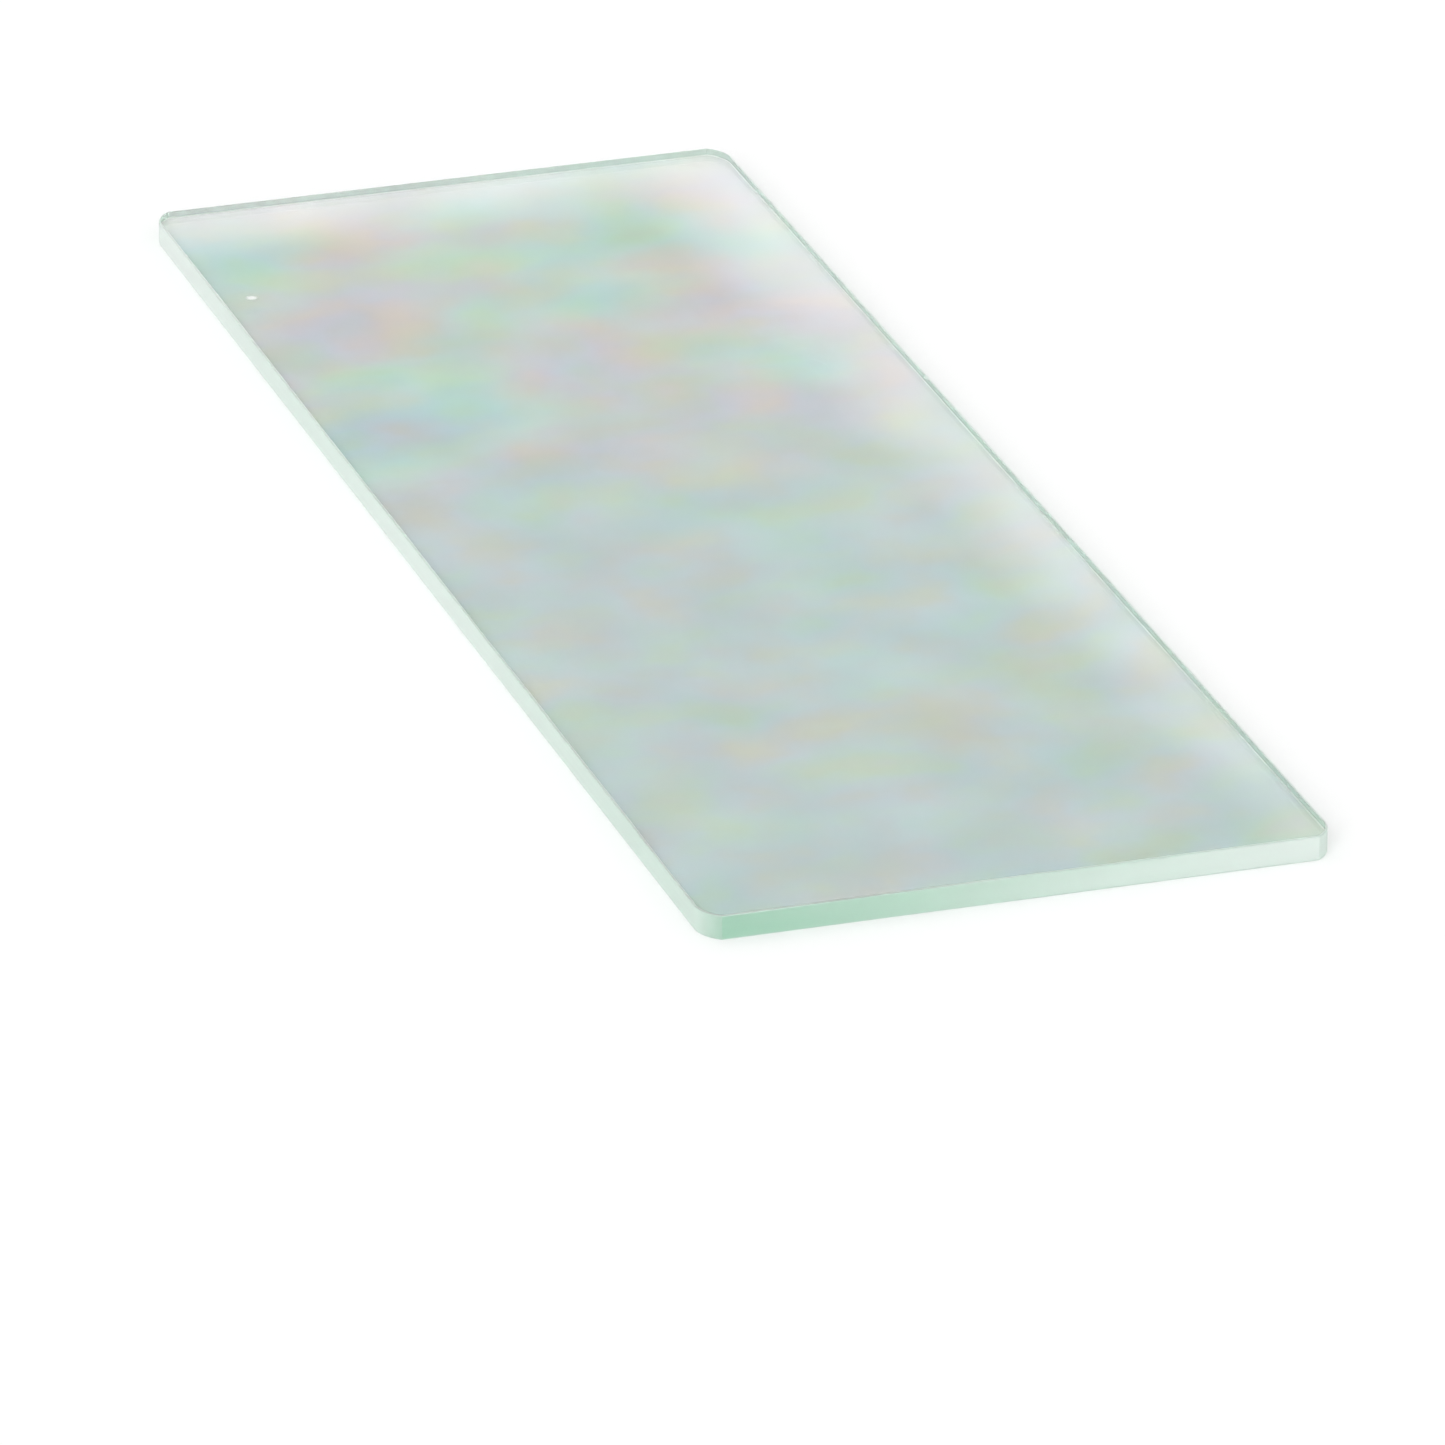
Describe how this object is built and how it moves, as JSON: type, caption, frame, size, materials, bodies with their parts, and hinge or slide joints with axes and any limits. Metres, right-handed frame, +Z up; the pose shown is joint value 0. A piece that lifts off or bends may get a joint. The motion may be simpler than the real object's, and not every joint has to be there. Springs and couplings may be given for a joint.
{
  "type": "microscope slide",
  "caption": "Plain rectangular glass plate for mounting specimens, with flat ground edges, broken arrises and slightly rounded corners.",
  "frame": {"origin": "middle of the lower face, which the slide lies on", "axes": "+X across the slide, +Y along its length, +Z up through its thickness"},
  "size_m": [0.025, 0.075, 0.001],
  "materials": {
    "clear_glass": "polished soda-lime float glass with a pale green cast, its edges ground to a satin"
  },
  "bodies": {
    "root": {"glass_slide": "clear_glass"}
  },
  "joints": []
}
